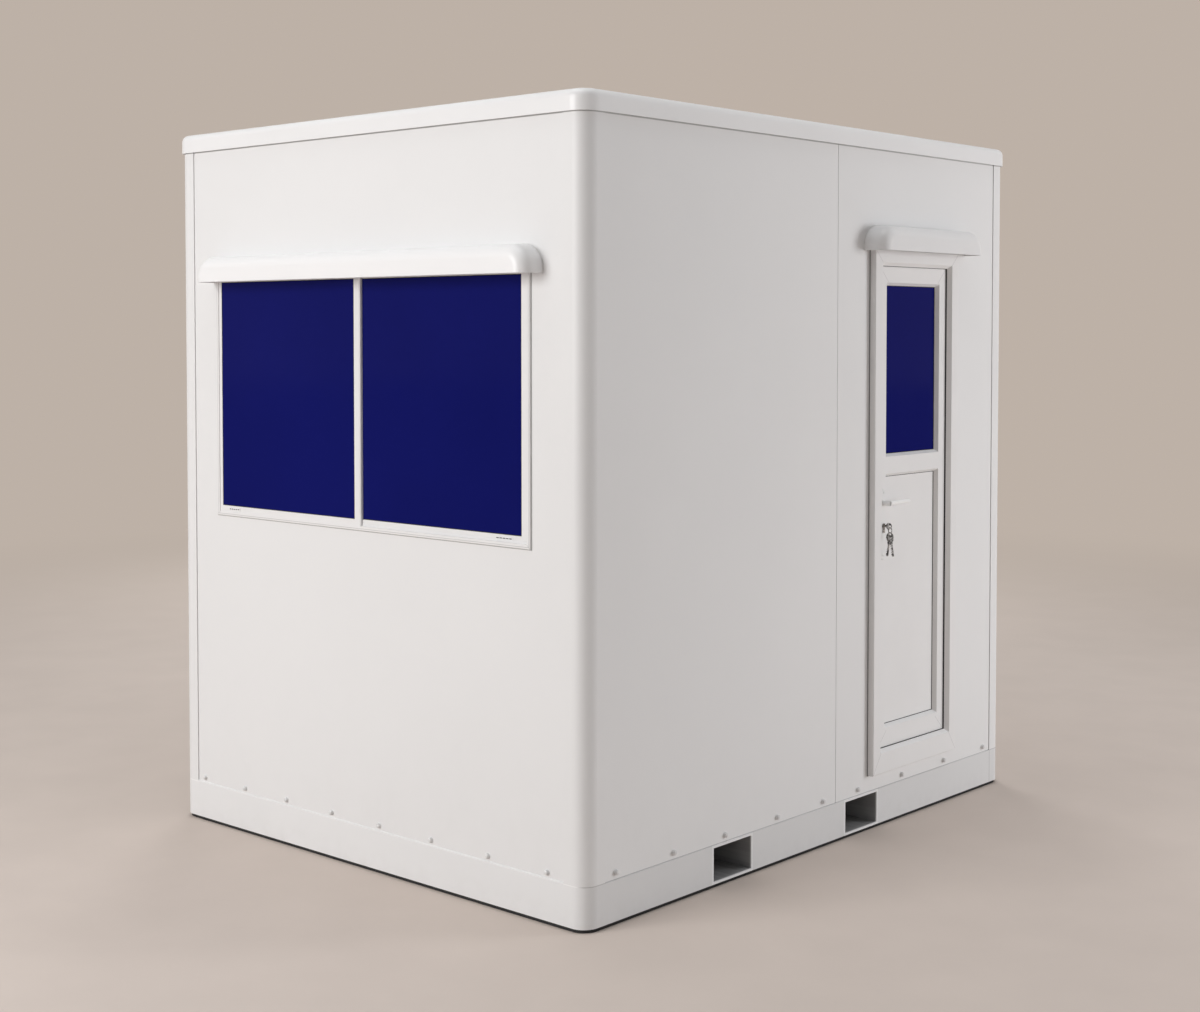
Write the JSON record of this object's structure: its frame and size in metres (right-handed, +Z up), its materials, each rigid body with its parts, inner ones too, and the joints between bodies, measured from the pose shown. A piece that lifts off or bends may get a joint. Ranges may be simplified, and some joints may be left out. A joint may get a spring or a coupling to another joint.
{
  "type": "security guard booth",
  "caption": "White portable cabin with rounded corner posts, a wide sliding window, a half-glazed hinged door with lever and keys, rain hoods and fork pockets in the base.",
  "frame": {"origin": "ground level at the centre of the four outer wall faces", "axes": "+Z up, -Y out of the window wall, +X out of the door wall"},
  "size_m": [2.1, 2.55, 2.5],
  "materials": {
    "wall_paint": "satin white",
    "base_paint": "satin white",
    "bare_steel": "galvanised",
    "black_rubber": "matt black",
    "floor_vinyl": "matt grey",
    "ceiling_board": "matt white",
    "roof_gelcoat": "semi-gloss white",
    "white_profile": "smooth white",
    "blue_glass": "dark blue reflective",
    "white_handle": "gloss white",
    "hinge_white": "gloss white",
    "nickel": "nickel plated"
  },
  "bodies": {
    "cabin": {"front_wall": "wall_paint", "back_wall": "wall_paint", "left_wall_front_panel": "wall_paint", "left_wall_rear_panel": "wall_paint", "right_wall_front_panel": "wall_paint", "door_wall_latch_side": "wall_paint", "door_wall_hinge_side": "wall_paint", "door_wall_head": "wall_paint", "door_wall_sill": "wall_paint", "corner_post_front_right": "wall_paint", "corner_post_front_left": "wall_paint", "corner_post_back_right": "wall_paint", "corner_post_back_left": "wall_paint", "base_front": "base_paint", "base_rear": "base_paint", "base_side_left": "base_paint", "base_side_right": "base_paint", "fork_pocket_front": "base_paint", "fork_pocket_rear": "base_paint", "floor_joists": "bare_steel", "ground_strips": "black_rubber", "floor_panel": "floor_vinyl", "ceiling_panel": "ceiling_board", "roof_cap": "roof_gelcoat", "window_hood": "roof_gelcoat", "door_hood": "roof_gelcoat", "window_frame": "white_profile", "window_sash_left": "white_profile", "window_sash_right": "white_profile", "door_frame": "white_profile", "window_glass_left": "blue_glass", "window_glass_right": "blue_glass", "hinge_frame_halves": "hinge_white"},
    "door": {"door_leaf": "white_profile", "door_glass": "blue_glass", "door_lower_panel": "white_profile", "handle_plates": "white_handle", "lock_cylinder": "nickel", "lock_key": "nickel", "key_ring": "nickel", "spare_keys": "nickel", "hinge_door_halves": "hinge_white"},
    "lever": {"lever_outside": "white_handle", "lever_inside": "white_handle"}
  },
  "joints": [
    {"name": "door_swing", "type": "hinge", "parent": "cabin", "child": "door", "pos_m": [0.947, 0.7975, 1.153], "axis": [0, 0, -1], "range_deg": [0, 105]},
    {"name": "lever_turn", "type": "hinge", "parent": "door", "child": "lever", "pos_m": [1, 0.362, 1.171], "axis": [-1, 0, 0], "range_deg": [0, 40], "stiffness_Nm_per_rad": 1.5, "springref_deg": -20.05}
  ]
}
